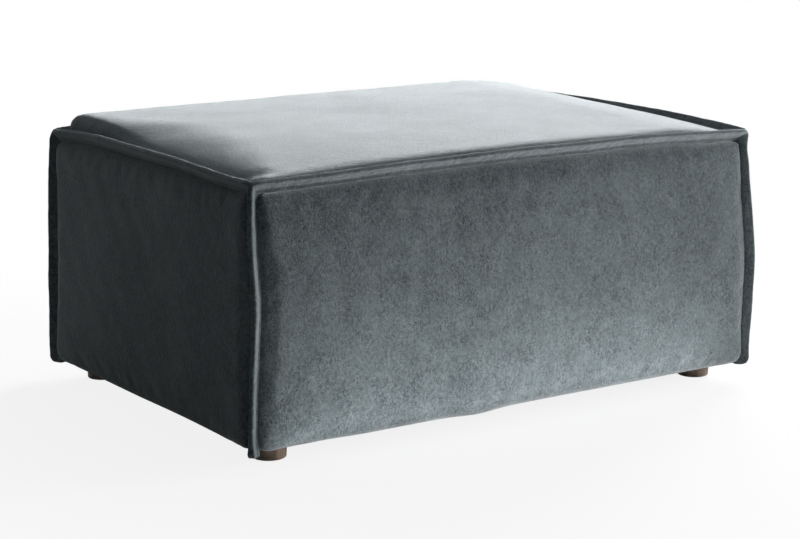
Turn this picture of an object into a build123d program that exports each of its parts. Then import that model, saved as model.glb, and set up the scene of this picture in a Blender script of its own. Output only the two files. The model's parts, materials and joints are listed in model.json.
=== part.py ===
"""Upholstered ottoman: a timber box with sprung seat, foam, five sewn covers and flanged seams.

Millimetres. +X runs along the long side, the long front face looks to -Y, +Z is up.
The origin is on the floor, under the middle of the seat.
"""
import math
import os

from build123d import *

# Overall size
length = 908.0              # along X, between the middles of the flanges' tips
width = 635.0               # along Y, between the same
flange_top = 400.5          # the middle of the top flanges' tips, above the floor
floor_gap = 23.5            # the floor to the lower ends of the corner flanges
seat_rise = 29.5            # the seat's crown, above the flange tips

# Flanges: stand-up seams, pointing out at 45 degrees from the seam lines
flange_reach = 24.0         # from the seam line to the tip
flange_waist_height = 12.0  # where the strip has narrowed, above the seam line
flange_flare_height = 3.0   # where it is widest, above the seam line
flange_tuck = 4.0           # how far it runs in behind the seam line
flange_tip = 5.0            # thickness at the tip
flange_waist = 7.0          # thickness at the waist
flange_flare = 16.0         # thickness at the flare
flange_root = 6.0           # thickness at the inner end of the tuck
flange_round = 2.0          # rounding of the tip
flange_snip = 17.0          # height of the slanted cut at a corner flange's lower end
flange_snip_depth = 8.0     # how far that cut runs in from the tip

# Covers and pads
cloth = 2.0                 # thickness of a cover with its backing
soft_gap = 0.3              # between soft pieces that are curved
panel_bottom = 30.0         # underside of the side covers, above the floor
panel_back = 14.0           # flat back of the side pads, inward of the seam line
panel_edge = 6.0            # the side cushions' edges, outward of the seam line
panel_crown = 7.0           # how much further their middle stands out
panel_end_crown = 2.0       # the same at their ends
panel_shoulder = 14.0       # rounding all round their face
panel_top_corner = 16.0     # rounding of their upper corners, seen from the front
panel_bottom_corner = 28.0  # rounding of their lower corners
seat_drop = 3.5             # flat bottom of the seat's crowned pad, below the seam line
seat_crown = 3.0            # rise of the seat between its long edges, at the middle
seat_end_crown = 1.5        # the same at its ends
seat_bow = 3.0              # rise of the long edges from their ends to their middle
seat_shoulder = 38.0        # rounding along the seat's edges
seat_corner = 40.0          # rounding of its corners, seen from above
core_height = 80.0          # foam core under the crowned pad
felt_height = 3.0           # felt between the springs and the foam

# Timber frame
board = 3.0                 # hardboard on the frame's sides
post = 45.0                 # corner posts, square
rail = 25.0                 # thickness of the rails
rail_height = 60.0
dust_cloth = 1.0            # sheet under the frame
dust_inset = 5.0            # its edge, inward of the frame's outer face
overrun = 1.0               # extra length of a cutting solid
fit = 0.05                  # play between hardware and its hole

# Fastenings
dowel_radius = 4.0
dowel_length = 40.0
nail_radius = 1.25
nail_length = 18.0
nail_head_radius = 3.0
nail_head = 1.0
panel_nail_margin = 45.0    # from the end of a rail to the first nail
panel_nail_pitch = 180.0    # about this far apart
staple_wire = 0.6           # radius
staple_crown = 10.0         # between the legs
staple_leg = 9.0
staple_margin = 40.0        # from the end of a rail to the first staple
staple_pitch = 120.0        # about this far apart

# Feet
foot_radius = 26.0
foot_bottom_radius = 24.5
foot_lift = 1.0             # wood above the floor
foot_round = 2.0
glide_radius = 19.0
glide_height = 3.0
stud_radius = 4.0           # M8
stud_in_foot = 20.0
stud_in_post = 12.0
insert_wall = 1.5
insert_length = 16.0
insert_flange_radius = 9.0
insert_flange = 1.5

# Springs
spring_wire = 1.9           # radius
spring_width = 50.0
spring_pitch = 24.5         # about this far from bar to bar
spring_count = 6
clip_sheet = 1.5
clip_width = 20.0
clip_plate = 11.0           # from the clip's eye out to the plate's end
clip_nail_offset = 7.0      # from the eye out to the nail

# Places that follow from the sizes
diagonal = math.sqrt(2)
seam_x = length / 2 - flange_reach / diagonal
seam_y = width / 2 - flange_reach / diagonal
seam_top = flange_top - flange_reach / diagonal
seam_edge = (flange_tuck + flange_root / 2) / diagonal + soft_gap
frame_x = seam_x - panel_back - board
frame_y = seam_y - panel_back - board
frame_bottom = panel_bottom + cloth
seat_base = seam_top - seat_drop
felt_bottom = seat_base - core_height - felt_height
rail_top = felt_bottom - soft_gap - 2 * spring_wire - clip_sheet
dust_bottom = panel_bottom - dust_cloth
post_x = frame_x - post / 2
post_y = frame_y - post / 2
corners = [(x * post_x, y * post_y) for y in (-1, 1) for x in (-1, 1)]
corner_names = ["front_left", "front_right", "back_left", "back_right"]
rail_levels = {"bottom": frame_bottom, "top": rail_top - rail_height}

# Each side: the way it faces, and the frame's and the seam's reach that way and along it
up = Vector(0, 0, 1)
sides = {
    "front": (Vector(0, -1, 0), frame_y, frame_x, seam_y, seam_x),
    "back": (Vector(0, 1, 0), frame_y, frame_x, seam_y, seam_x),
    "left": (Vector(-1, 0, 0), frame_x, frame_y, seam_x, seam_y),
    "right": (Vector(1, 0, 0), frame_x, frame_y, seam_x, seam_y),
}

os.makedirs("parts", exist_ok=True)


def save(piece, name):
    """Label a finished piece and write it."""
    piece.label = name
    export_step(piece, f"parts/{name}.step")


def upright(out, distance, height=0.0):
    """Plane facing outward at a distance from the middle: X along the side, Y up."""
    return Plane(origin=out * distance + up * height, x_dir=up.cross(out), z_dir=out)


def level(out, distance, height):
    """Level plane over the same place: X outward, Y along the side."""
    return Plane(origin=out * distance + up * height, x_dir=out, z_dir=up)


def spread(span, margin, pitch):
    """Places along a span, near enough to a pitch apart, with a margin at each end."""
    run = span - 2 * margin
    steps = max(1, round(run / pitch))
    return [run * (i / steps - 0.5) for i in range(steps + 1)]


# Timber frame

def dowel_spots(side, name):
    """The dowels at both ends of one rail, each lying along the rail across its joint."""
    out, reach, half = sides[side][:3]
    along = up.cross(out)
    spots = []
    for end in (-1, 1):
        for share in (1 / 3, 2 / 3):
            height = rail_levels[name] + rail_height * share
            origin = out * (reach - rail / 2) + along * end * (half - post) + up * height
            spots.append(Plane(origin=origin, z_dir=along).location)
    return spots


def centre_dowel_spots():
    """The dowels that join the centre rail to the front and back rails."""
    heights = [frame_bottom + rail_height * share for share in (1 / 3, 2 / 3)]
    return [
        Plane(origin=(0, end * (frame_y - rail), height), z_dir=(0, 1, 0)).location
        for end in (-1, 1)
        for height in heights
    ]


def panel_nail_spots(side):
    """The nails that hold one hardboard panel, heads level with its outer face."""
    out, reach, half = sides[side][:3]
    places = spread(2 * (half - post), panel_nail_margin, panel_nail_pitch)
    heights = [base + rail_height / 2 for base in rail_levels.values()]
    face = upright(out, reach + board)
    return [face * Location((place, height, 0)) for height in heights for place in places]


def staple_spots(side):
    """The staples under one bottom rail, with their legs pointing up."""
    out, reach, half = sides[side][:3]
    places = spread(2 * (half - post), staple_margin, staple_pitch)
    sheet = level(out, reach - rail / 2, dust_bottom)
    return [sheet * Location((0, place, 0)) for place in places]


dowels_of = {(side, name): dowel_spots(side, name) for side in sides for name in rail_levels}
all_dowels = [spot for spots in dowels_of.values() for spot in spots]
all_staples = [spot for side in sides for spot in staple_spots(side)]
clip_x = [
    (i - (spring_count - 1) / 2) * 2 * (frame_x - post) / spring_count for i in range(spring_count)
]
clip_y = frame_y - rail / 2
clip_axis = rail_top + clip_sheet + spring_wire
clip_nail_tops = [
    (x, end * (clip_y + clip_nail_offset), rail_top + clip_sheet) for x in clip_x for end in (-1, 1)
]
corner_spots = [Location((x, y, 0)) for x, y in corners]


def drill_dowels(spots):
    """Cut dowel holes, with play all round, out of the piece being built."""
    with Locations(*spots):
        Cylinder(dowel_radius + fit, dowel_length + 2 * fit, mode=Mode.SUBTRACT)


def drill_staples(spots):
    """Cut the holes of the staples' legs out of the piece being built."""
    legs = [spot * Location((0, end * staple_crown / 2, 0)) for spot in spots for end in (-1, 1)]
    with Locations(*legs):
        Cylinder(staple_wire + fit, 2 * (staple_leg + fit), mode=Mode.SUBTRACT)


def drill_nails(spots):
    """Cut the shank holes of nails that point down their own -Z."""
    with Locations(*spots):
        Cylinder(nail_radius + fit, 2 * (nail_length + fit), mode=Mode.SUBTRACT)


def drill_studs():
    """Cut the way of the four foot studs through a level sheet."""
    with Locations(*[Location((x, y, panel_bottom)) for x, y in corners]):
        Cylinder(stud_radius + fit, 2 * (cloth + dust_cloth + overrun), mode=Mode.SUBTRACT)


def make_rail(side, name):
    out, reach, half = sides[side][:3]
    centre = rail_levels[name] + rail_height / 2
    with BuildPart() as timber:
        with BuildSketch(upright(out, reach, centre)):
            Rectangle(2 * (half - post), rail_height)
        extrude(amount=-rail)
        drill_dowels(dowels_of[side, name])
        drill_nails([spot for spot in panel_nail_spots(side) if abs(spot.position.Z - centre) < rail_height])
        if name == "bottom":
            drill_staples(staple_spots(side))
            if side in ("front", "back"):
                drill_dowels([spot for spot in centre_dowel_spots() if spot.position.dot(out) > 0])
        elif side in ("front", "back"):
            drill_nails([Location(top) for top in clip_nail_tops if Vector(*top).dot(out) > 0])
    save(timber.part, f"{name}_rail_{side}")


for side in sides:
    for name in rail_levels:
        make_rail(side, name)

with BuildPart() as centre_rail:
    with BuildSketch(Plane.XY.offset(frame_bottom)):
        Rectangle(rail, 2 * (frame_y - rail))
    extrude(amount=rail_height)
    drill_dowels(centre_dowel_spots())
save(centre_rail.part, "centre_rail")


def make_post(corner, name):
    """Corner post, bored for its eight dowels and, from below, for the foot's insert."""
    x, y = corner
    near = [spot for spot in all_dowels if abs(spot.position.X - x) < post and abs(spot.position.Y - y) < post]
    barrel = stud_radius + insert_wall + 2 * fit
    with BuildPart() as timber:
        with BuildSketch(Plane.XY.offset(frame_bottom)):
            with Locations(corner):
                Rectangle(post, post)
        extrude(amount=rail_top - frame_bottom)
        drill_dowels(near)
        with Locations(Location((x, y, frame_bottom))):
            Cylinder(barrel, 2 * (insert_length + fit), mode=Mode.SUBTRACT)
            Cylinder(insert_flange_radius + fit, 2 * insert_flange, mode=Mode.SUBTRACT)
    save(timber.part, f"post_{name}")


for corner, name in zip(corners, corner_names):
    make_post(corner, name)

with BuildPart() as dowels:
    with Locations(*all_dowels, *centre_dowel_spots()):
        Cylinder(dowel_radius, dowel_length)
save(dowels.part, "dowels")


def make_board(side):
    """Hardboard panel; the front and back ones lap over the ends of the others."""
    out, reach, half = sides[side][:3]
    lap = board if side in ("front", "back") else 0
    height = rail_top - frame_bottom
    with BuildPart() as sheet:
        with BuildSketch(upright(out, reach, frame_bottom + height / 2)):
            Rectangle(2 * (half + lap), height)
        extrude(amount=board)
        with Locations(*panel_nail_spots(side)):
            CounterBoreHole(nail_radius + fit, nail_head_radius + fit, nail_head, board)
    save(sheet.part, f"side_board_{side}")


for side in sides:
    make_board(side)


# Nails, staples, and the dust sheet

def nail(head_depth):
    """Flat-headed nail pointing down -Z; its head reaches from -head_depth up."""
    with BuildPart() as pin:
        with BuildSketch(Plane.XZ):
            with BuildLine():
                Polyline(
                    (0, nail_head - head_depth),
                    (nail_head_radius, nail_head - head_depth),
                    (nail_head_radius, -head_depth),
                    (nail_radius, -head_depth),
                    (nail_radius, nail_radius - nail_length),
                    (0, -nail_length),
                    close=True,
                )
            make_face()
        revolve(axis=Axis.Z)
    return pin.part


sunk_nail = nail(nail_head)
clip_nail = nail(0)

with BuildPart() as panel_nails:
    with Locations(*[spot for side in sides for spot in panel_nail_spots(side)]):
        add(sunk_nail)
save(panel_nails.part, "panel_nails")

with BuildPart() as staple:
    half_crown = staple_crown / 2
    with BuildLine():
        Polyline(
            (0, -half_crown, staple_leg),
            (0, -half_crown, -staple_wire),
            (0, half_crown, -staple_wire),
            (0, half_crown, staple_leg),
        )
    with BuildSketch(Plane(origin=(0, -half_crown, staple_leg), z_dir=(0, 0, -1))):
        Circle(staple_wire)
    sweep(transition=Transition.RIGHT)

with BuildPart() as staples:
    with Locations(*all_staples):
        add(staple.part)
save(staples.part, "dust_cover_staples")

with BuildPart() as dust_cover:
    with BuildSketch(Plane.XY.offset(dust_bottom)):
        Rectangle(2 * (frame_x - dust_inset), 2 * (frame_y - dust_inset))
    extrude(amount=dust_cloth)
    drill_studs()
    drill_staples(all_staples)
save(dust_cover.part, "dust_cover")


# Feet, with their studs, inserts and glides

def make_foot(corner, name):
    """Turned wooden foot, bored from above for its stud, with a recess for its glide."""
    recess = glide_height - foot_lift
    bore = stud_radius + fit
    bore_bottom = dust_bottom - stud_in_foot - fit
    with BuildPart() as foot:
        with BuildSketch(Plane(origin=(*corner, 0), x_dir=(1, 0, 0), z_dir=(0, -1, 0))) as profile:
            with BuildLine():
                Polyline(
                    (0, foot_lift + recess),
                    (glide_radius + fit, foot_lift + recess),
                    (glide_radius + fit, foot_lift),
                    (foot_bottom_radius, foot_lift),
                    (foot_radius, dust_bottom),
                    (bore, dust_bottom),
                    (bore, bore_bottom),
                    (0, bore_bottom),
                    close=True,
                )
            make_face()
            fillet(profile.vertices().group_by(Axis.X)[-2:], foot_round)
        revolve(axis=Axis((*corner, 0), (0, 0, 1)))
    save(foot.part, f"foot_{name}")


for corner, name in zip(corners, corner_names):
    make_foot(corner, name)

with BuildPart() as glides:
    with BuildSketch():
        with Locations(*corners):
            Circle(glide_radius)
    extrude(amount=glide_height)
save(glides.part, "foot_glides")

with BuildPart() as studs:
    with BuildSketch(Plane.XY.offset(dust_bottom - stud_in_foot)):
        with Locations(*corners):
            Circle(stud_radius)
    extrude(amount=stud_in_foot + dust_cloth + cloth + stud_in_post)
save(studs.part, "foot_studs")

with BuildPart() as inserts:
    with BuildSketch(Plane.XY.offset(frame_bottom)):
        with Locations(*corners):
            Circle(insert_flange_radius)
    extrude(amount=insert_flange)
    with BuildSketch(Plane.XY.offset(frame_bottom)):
        with Locations(*corners):
            Circle(stud_radius + insert_wall + fit)
    extrude(amount=insert_length)
    with BuildSketch(Plane.XY.offset(frame_bottom)):
        with Locations(*corners):
            Circle(stud_radius + fit)
    extrude(amount=insert_length, mode=Mode.SUBTRACT)
save(inserts.part, "threaded_inserts")


# Springs and their clips

def make_spring(x, name):
    """Sinuous spring: straight bars joined by half turns, from the front rail to the back."""
    steps = 2 * max(1, round(clip_y / spring_pitch))
    pitch = 2 * clip_y / steps
    bar = spring_width / 2 - spring_wire - pitch / 2
    with BuildPart() as spring:
        with BuildLine():
            for i in range(steps + 1):
                y = -clip_y + i * pitch
                turn = 1 if i % 2 == 0 else -1
                Line((x - turn * bar, y, clip_axis), (x + turn * bar, y, clip_axis))
                if i < steps:
                    ThreePointArc(
                        (x + turn * bar, y, clip_axis),
                        (x + turn * (bar + pitch / 2), y + pitch / 2, clip_axis),
                        (x + turn * bar, y + pitch, clip_axis),
                    )
        with BuildSketch(Plane(origin=(x - bar, -clip_y, clip_axis), z_dir=(1, 0, 0))):
            Circle(spring_wire)
        sweep()
    save(spring.part, name)


for i, x in enumerate(clip_x):
    make_spring(x, f"seat_spring_{i + 1}")


def make_clip(end):
    """Folded clip at x = 0: an eye round the spring's end bar and a plate nailed to the rail."""
    eye = spring_wire + clip_sheet
    with BuildPart() as clip:
        with BuildSketch(Plane.YZ):
            with Locations((end * clip_y, clip_axis)):
                Circle(eye)
            with Locations((end * (clip_y + clip_plate / 2), rail_top + clip_sheet / 2)):
                Rectangle(clip_plate, clip_sheet)
            with Locations((end * clip_y, clip_axis)):
                Circle(spring_wire + fit, mode=Mode.SUBTRACT)
        extrude(amount=clip_width / 2, both=True)
        with Locations(Location((0, end * (clip_y + clip_nail_offset), rail_top))):
            Cylinder(nail_radius + fit, 2 * (clip_sheet + overrun), mode=Mode.SUBTRACT)
    return clip.part


front_clip = make_clip(-1)
back_clip = make_clip(1)

with BuildPart() as clips:
    with Locations(*[Location((x, 0, 0)) for x in clip_x]):
        add([front_clip, back_clip])
save(clips.part, "spring_clips")

with BuildPart() as clip_nails:
    with Locations(*[Location(top) for top in clip_nail_tops]):
        add(clip_nail)
save(clip_nails.part, "clip_nails")


# Felt, foam and pads

with BuildPart() as felt:
    with BuildSketch(Plane.XY.offset(felt_bottom)):
        Rectangle(2 * (frame_x - rail), 2 * (clip_y - spring_wire - clip_sheet - soft_gap))
    extrude(amount=felt_height)
save(felt.part, "insulator_felt")

with BuildPart() as foam_core:
    with BuildSketch(Plane.XY.offset(seat_base - core_height)):
        Rectangle(2 * (frame_x + board), 2 * (frame_y + board))
    extrude(amount=core_height)
save(foam_core.part, "foam_core")


def crowned(size, edge, bow, crown, end_crown, radii, shoulder, inset=0.0, below=0.0, end_cut=None):
    """Crowned block standing on the XY plane, drawn in from its full outline by an inset.

    The outline, with its lower and upper corner radii, is cut by a loft of arc-topped
    sections and rounded along the shoulder. below carries it under the plane, and end_cut
    is the height of a 45 degree cut along the foot of both ends.
    """
    half_length = size[0] / 2 - inset
    half_width = size[1] / 2 - inset
    full_height = edge + bow + crown
    station_shares = (-1, -0.5, 0, 0.5, 1)
    with BuildPart() as block:
        with BuildSketch(Plane.XY.offset(-below)) as outline:
            Rectangle(2 * half_length, 2 * half_width)
            fillet(outline.vertices().group_by(Axis.Y)[0], radii[0] - inset)
            fillet(outline.vertices().group_by(Axis.Y)[-1], radii[1] - inset)
        extrude(amount=full_height + below)
        for share in station_shares:
            arch = 1 - share**2
            side_height = edge - inset + bow * arch
            top_height = side_height + end_crown + (crown - end_crown) * arch
            w = half_width + overrun
            with BuildSketch(Plane.YZ.offset(share * (half_length + overrun))):
                with BuildLine():
                    Polyline((-w, side_height), (-w, -below), (w, -below), (w, side_height))
                    ThreePointArc((w, side_height), (0, top_height), (-w, side_height))
                make_face()
        loft(mode=Mode.INTERSECT)
        crest = block.faces().sort_by(Axis.Z)[-1]
        fillet(crest.edges(), shoulder - inset)
        if end_cut is not None:
            run = end_cut - inset + below + 2 * overrun
            foot = -below - overrun
            for end in (-1, 1):
                wall = half_length + overrun
                corner = [(end * wall, foot + run), (end * wall, foot), (end * (wall - run), foot)]
                with BuildSketch(Plane.XZ):
                    with BuildLine():
                        Polyline(*corner, close=True)
                    make_face()
                extrude(amount=half_width, both=True, mode=Mode.SUBTRACT)
    return block.part


def placed(piece, plane):
    """A copy of a piece that was built on the XY plane, moved to its own plane."""
    with BuildPart() as copy:
        with Locations(plane.location):
            add(piece)
    return copy.part


def seat_block(inset=0.0, below=0.0):
    """The seat's crowned form, over the foam core."""
    size = (2 * (seam_x - seam_edge), 2 * (seam_y - seam_edge))
    edge = flange_top + seat_rise - seat_base - seat_crown - seat_bow
    radii = (seat_corner, seat_corner)
    return crowned(size, edge, seat_bow, seat_crown, seat_end_crown, radii, seat_shoulder, inset, below)


seat_plane = Plane.XY.offset(seat_base)
save(placed(seat_block(cloth + soft_gap), seat_plane), "foam_topper")

with BuildPart() as top_shell:
    add(seat_block())
    add(seat_block(cloth, overrun), mode=Mode.SUBTRACT)
save(placed(top_shell.part, seat_plane), "top_cover")

# Side pads and covers, built lying on their backs: X along the side, Y up it, Z outward
panel_height = seam_top - seam_edge - panel_bottom
mitre_play = soft_gap / diagonal


def side_block(seam_half, inset=0.0, below=0.0):
    """A side's crowned form, mitred behind where it meets the next sides."""
    size = (2 * (seam_half - seam_edge), panel_height)
    edge = panel_back + panel_edge
    radii = (panel_bottom_corner, panel_top_corner)
    end_cut = panel_back + mitre_play - seam_edge
    return crowned(
        size, edge, 0, panel_crown, panel_end_crown, radii, panel_shoulder, inset, below, end_cut
    )


def side_cover(seam_half, post_along, staple_places):
    """A side's cover: a crowned shell, with a hem that turns in under the frame.

    The hem is mitred, and holed for the staples and for the studs of the feet.
    """
    hem = board + post
    hem_half = seam_half - panel_back - mitre_play
    legs = [place + end * staple_crown / 2 for place in staple_places for end in (-1, 1)]
    with BuildPart() as cover:
        add(side_block(seam_half))
        add(side_block(seam_half, cloth, overrun), mode=Mode.SUBTRACT)
        with BuildSketch(Plane.XZ.offset(panel_height / 2)):
            with BuildLine():
                Polyline(
                    (-hem_half, 0), (hem_half, 0), (hem_half - hem, -hem), (hem - hem_half, -hem),
                    close=True,
                )
            make_face()
            with Locations(*[(end * post_along, -board - post / 2) for end in (-1, 1)]):
                Circle(stud_radius + fit, mode=Mode.SUBTRACT)
            with Locations(*[(leg, -board - rail / 2) for leg in legs]):
                Circle(staple_wire + fit, mode=Mode.SUBTRACT)
        extrude(amount=-cloth)
    return cover.part


def make_side_pair(pair, post_along):
    """The pads and covers of two opposite sides."""
    frame_half, _, seam_half = sides[pair[0]][2:]
    staple_places = spread(2 * (frame_half - post), staple_margin, staple_pitch)
    pad = side_block(seam_half, cloth + soft_gap)
    cover = side_cover(seam_half, post_along, staple_places)
    for side in pair:
        out, seam = sides[side][0], sides[side][3]
        back = upright(out, seam - panel_back, panel_bottom + panel_height / 2)
        save(placed(pad, back), f"side_pad_{side}")
        save(placed(cover, back), f"{side}_cover")


make_side_pair(("front", "back"), post_x)
make_side_pair(("left", "right"), post_y)


# Flanges

def flange_section():
    """Strip flared over its seam and tucked in behind it; local X runs out along it."""
    flare_end = flange_tuck + flange_root / 2
    outline = [
        (-flange_tuck, flange_root / 2),
        (0, flare_end),
        (flange_flare_height, flange_flare / 2),
        (flange_waist_height, flange_waist / 2),
        (flange_reach, flange_tip / 2),
    ]
    with BuildSketch(mode=Mode.PRIVATE) as section:
        with BuildLine():
            Polyline(*outline, *[(x, -y) for x, y in reversed(outline)], close=True)
        make_face()
        fillet(section.vertices().group_by(Axis.X)[-1], flange_round)
    return section.sketch


flange_face = flange_section()


def mitre(corner, toward, others):
    """Cut the flange being built at a corner of the seams, at 45 degrees to each neighbour.

    It points toward the corner, and keeps a small gap to those that point the other ways.
    """
    for other in others:
        normal = (toward - other).normalized()
        split(bisect_by=Plane(origin=corner - normal * soft_gap / 2, z_dir=normal), keep=Keep.BOTTOM)


def make_top_flange(side):
    """Flange along one side of the seat, mitred into the flanges at both its corners."""
    out, seam, half = sides[side][0], *sides[side][3:]
    along = out.cross(up)
    middle = out * seam + up * seam_top
    with BuildPart() as flange:
        with BuildSketch(Plane(origin=middle, x_dir=out + up, z_dir=along)):
            add(flange_face)
        extrude(amount=half + flange_reach, both=True)
        for end in (-1, 1):
            mitre(middle + along * end * half, along * end, [out, up])
    save(flange.part, f"top_flange_{side}")


def make_corner_flange(first, second, name):
    """Flange down one corner, mitred at its top and snipped off at a slant at its foot."""
    a, b = sides[first][0], sides[second][0]
    foot = a * sides[first][3] + b * sides[second][3] + up * floor_gap
    outward = (a + b).normalized()
    along = a.cross(b)
    with BuildPart() as flange:
        with BuildSketch(Plane(origin=foot, x_dir=outward, z_dir=along)):
            add(flange_face)
        extrude(amount=(seam_top + flange_reach - floor_gap) * along.dot(up))
        mitre(foot + up * (seam_top - floor_gap), up, [a, b])
        slant = outward * flange_snip - up * flange_snip_depth
        tip = foot + outward * flange_reach + up * flange_snip
        split(bisect_by=Plane(origin=tip, z_dir=slant), keep=Keep.BOTTOM)
    save(flange.part, f"corner_flange_{name}")


for side in sides:
    make_top_flange(side)

for name in corner_names:
    first, second = name.split("_")
    make_corner_flange(first, second, name)
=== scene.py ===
"""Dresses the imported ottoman: cushions and flanges in velvet, with floor, lights and camera."""

import json
import math

import bpy
import numpy as np
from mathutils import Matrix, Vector


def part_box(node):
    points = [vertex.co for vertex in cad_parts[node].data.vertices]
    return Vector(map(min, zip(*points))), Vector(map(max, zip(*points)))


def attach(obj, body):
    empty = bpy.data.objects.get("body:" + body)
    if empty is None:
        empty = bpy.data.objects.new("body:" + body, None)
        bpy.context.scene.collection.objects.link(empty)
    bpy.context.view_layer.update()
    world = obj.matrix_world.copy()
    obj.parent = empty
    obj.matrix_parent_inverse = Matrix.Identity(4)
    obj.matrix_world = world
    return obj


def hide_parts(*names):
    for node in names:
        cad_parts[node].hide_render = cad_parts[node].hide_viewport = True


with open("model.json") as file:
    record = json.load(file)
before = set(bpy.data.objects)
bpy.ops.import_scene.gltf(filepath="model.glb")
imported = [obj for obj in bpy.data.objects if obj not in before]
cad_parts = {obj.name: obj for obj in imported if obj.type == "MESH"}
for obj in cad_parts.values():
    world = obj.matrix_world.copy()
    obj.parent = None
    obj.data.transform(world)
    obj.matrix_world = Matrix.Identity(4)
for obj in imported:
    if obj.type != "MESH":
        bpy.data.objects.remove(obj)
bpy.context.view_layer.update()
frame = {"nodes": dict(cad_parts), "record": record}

DIAGONAL = math.sqrt(2)
UP = Vector((0, 0, 1))

# Sizes of the part's sewn forms, in metres
PANEL_BACK = 0.014          # back of the side cushions, inward of the seam line
SEAT_DROP = 0.0035          # underside of the seat, below the seam line
FLANGE_REACH = 0.024        # from the seam line to the tip

# Places worked out from the part's nodes
board_low, board_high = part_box("side_board_front")
post_low, post_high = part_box("post_front_left")
BOARD = board_high[1] - board_low[1]
POST = post_high[0] - post_low[0]
SEAM_X = board_high[0] + PANEL_BACK
SEAM_Y = PANEL_BACK - board_low[1]
SEAT_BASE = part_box("foam_core")[1][2]
SEAM_TOP = SEAT_BASE + SEAT_DROP
FLANGE_TOP = SEAM_TOP + FLANGE_REACH / DIAGONAL
FLOOR_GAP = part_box("corner_flange_front_left")[0][2]
PANEL_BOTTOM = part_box("front_cover")[0][2]

SIDES = {
    "front": (Vector((0, -1, 0)), SEAM_Y, SEAM_X),
    "back": (Vector((0, 1, 0)), SEAM_Y, SEAM_X),
    "left": (Vector((-1, 0, 0)), SEAM_X, SEAM_Y),
    "right": (Vector((1, 0, 0)), SEAM_X, SEAM_Y),
}


# Small helpers

def smooth(low, high, value):
    """Smooth step from 0 at low to 1 at high, for an array."""
    t = np.clip((value - low) / (high - low), 0, 1)
    return t * t * (3 - 2 * t)


def bell(offset, width):
    """Bell curve that is 1 at no offset."""
    return np.exp(-((offset / width) ** 2))


def points_of(mesh):
    co = np.empty(len(mesh.vertices) * 3)
    mesh.vertices.foreach_get("co", co)
    return co.reshape(-1, 3)


def set_points(mesh, points):
    mesh.vertices.foreach_set("co", points.astype(np.float32).ravel())
    mesh.update()


def normals_of(mesh):
    no = np.empty(len(mesh.vertices) * 3)
    mesh.vertices.foreach_get("normal", no)
    return no.reshape(-1, 3)


def new_object(name, points, faces):
    mesh = bpy.data.meshes.new(name)
    mesh.from_pydata([tuple(p) for p in points], [], faces)
    mesh.update()
    piece = bpy.data.objects.new(name, mesh)
    bpy.context.scene.collection.objects.link(piece)
    return piece


def tube(name, rings):
    """Closed form through rings of points, with a flat face at each end."""
    count = len(rings[0])
    points = [point for one in rings for point in one]
    faces = []
    for i in range(len(rings) - 1):
        for k in range(count):
            n = (k + 1) % count
            faces.append((i * count + k, i * count + n, (i + 1) * count + n, (i + 1) * count + k))
    faces.append(tuple(reversed(range(count))))
    faces.append(tuple(range(len(points) - count, len(points))))
    return new_object(name, points, faces)


def slab(name, columns, rows, spot):
    """Thin closed sheet of two layers. spot gives a point from its layer, row and column."""
    points = [spot(layer, j, i) for layer in (0, 1) for j in range(rows + 1) for i in range(columns + 1)]
    row = columns + 1
    layer_size = row * (rows + 1)
    faces = []
    for j in range(rows):
        for i in range(columns):
            k = j * row + i
            m = layer_size + k
            faces.append((k, k + row, k + row + 1, k + 1))
            faces.append((m, m + 1, m + row + 1, m + row))
    rim = list(range(row)) + [j * row + columns for j in range(1, rows + 1)]
    rim += [rows * row + i for i in range(columns - 1, -1, -1)] + [j * row for j in range(rows - 1, 0, -1)]
    for one, two in zip(rim, rim[1:] + rim[:1]):
        faces.append((one, two, layer_size + two, layer_size + one))
    return new_object(name, points, faces)


def bake(piece):
    """Replace the piece's mesh by what its modifiers make of it."""
    evaluated = piece.evaluated_get(bpy.context.evaluated_depsgraph_get())
    made = bpy.data.meshes.new_from_object(evaluated)
    piece.modifiers.clear()
    old, piece.data = piece.data, made
    if old.users == 0:
        bpy.data.meshes.remove(old)


def modify(piece, kind, **settings):
    """Apply one modifier with these settings."""
    modifier = piece.modifiers.new(kind.lower(), kind)
    for key, value in settings.items():
        setattr(modifier, key, value)
    bake(piece)


def join(piece, others):
    """Add the meshes of others to the piece's."""
    with bpy.context.temp_override(active_object=piece, selected_editable_objects=[piece, *others]):
        bpy.ops.object.join()


def shade_smooth(piece):
    piece.data.polygons.foreach_set("use_smooth", [True] * len(piece.data.polygons))


def waves(points, seed, scale):
    """Gentle repeatable noise in -1 to 1: a few plane waves of about one wavelength."""
    rng = np.random.default_rng(seed)
    total = np.zeros(len(points))
    count = 7
    for _ in range(count):
        direction = rng.normal(size=3)
        direction /= np.linalg.norm(direction)
        length = scale * rng.uniform(0.7, 1.6)
        total += np.sin(2 * math.pi * (points @ direction) / length + rng.uniform(0, 2 * math.pi))
    return total / count * 1.6


def unevenness(points, rows, shift=0):
    """Sum of waves, each row with its size, its seed and its length."""
    return sum(size * waves(points, seed + shift, length) for size, seed, length in rows)


def eased(value, places, amounts):
    """Amounts between places, with their corners rounded off."""
    steps = (-0.03, -0.015, 0.0, 0.015, 0.03)
    return sum(np.interp(value + step, places, amounts) for step in steps) / len(steps)


# The common warp of everything sewn

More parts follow.
